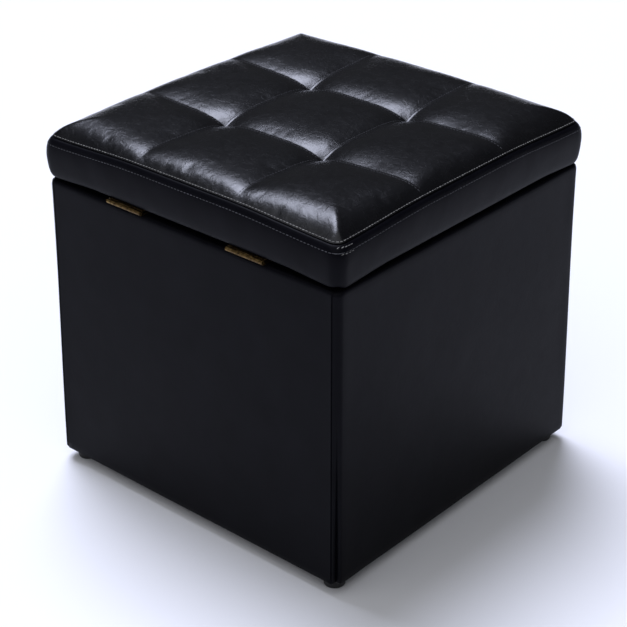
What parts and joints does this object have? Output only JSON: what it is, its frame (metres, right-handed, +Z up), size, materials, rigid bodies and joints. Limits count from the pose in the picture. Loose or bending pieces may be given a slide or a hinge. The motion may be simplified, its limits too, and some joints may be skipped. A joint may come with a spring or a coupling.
{
  "type": "ottoman with storage",
  "caption": "Square storage ottoman in black leather with a tufted, padded lid on butt hinges, low round feet and a lined box.",
  "frame": {"origin": "on the floor, under the middle of the box", "axes": "+Z up, +Y towards the hinge side, -Y towards the side where the lid opens, +X to the right seen from the opening side"},
  "size_m": [0.4, 0.4, 0.404],
  "materials": {
    "fibreboard": "matte",
    "foam": "matte",
    "black_leather": "satin",
    "nonwoven_lining": "matte",
    "dust_cloth": "matte",
    "black_plastic": "satin",
    "zinc_steel": "satin",
    "antique_brass": "satin",
    "twine": "matte"
  },
  "bodies": {
    "box": {"back_board": "fibreboard", "front_board": "fibreboard", "left_board": "fibreboard", "right_board": "fibreboard", "base_board": "fibreboard", "carcass_nails": "zinc_steel", "back_foam_sheet": "foam", "front_foam_sheet": "foam", "left_foam_sheet": "foam", "right_foam_sheet": "foam", "back_cover": "black_leather", "front_cover": "black_leather", "left_cover": "black_leather", "right_cover": "black_leather", "storage_lining": "nonwoven_lining", "dust_cover": "dust_cloth", "base_staples": "zinc_steel", "lining_staples": "zinc_steel", "front_left_foot": "black_plastic", "front_right_foot": "black_plastic", "back_left_foot": "black_plastic", "back_right_foot": "black_plastic", "foot_screws": "zinc_steel", "left_hinge_box_leaf": "antique_brass", "right_hinge_box_leaf": "antique_brass", "left_hinge_pin": "antique_brass", "right_hinge_pin": "antique_brass", "hinge_box_screws": "antique_brass"},
    "lid": {"lid_board": "fibreboard", "lid_foam": "foam", "lid_back_band": "black_leather", "lid_front_band": "black_leather", "lid_left_band": "black_leather", "lid_right_band": "black_leather", "top_square_front_left": "black_leather", "top_square_front_middle": "black_leather", "top_square_front_right": "black_leather", "top_square_centre_left": "black_leather", "top_square_centre_middle": "black_leather", "top_square_centre_right": "black_leather", "top_square_back_left": "black_leather", "top_square_back_middle": "black_leather", "top_square_back_right": "black_leather", "tuft_ties": "twine", "lid_lining": "nonwoven_lining", "lid_staples": "zinc_steel", "left_hinge_lid_leaf": "antique_brass", "right_hinge_lid_leaf": "antique_brass", "hinge_lid_screws": "antique_brass"}
  },
  "joints": [
    {"name": "lid_hinge", "type": "hinge", "parent": "box", "child": "lid", "pos_m": [0, 0.1973, 0.3412], "axis": [-1, 0, 0], "range_deg": [0, 160]}
  ]
}
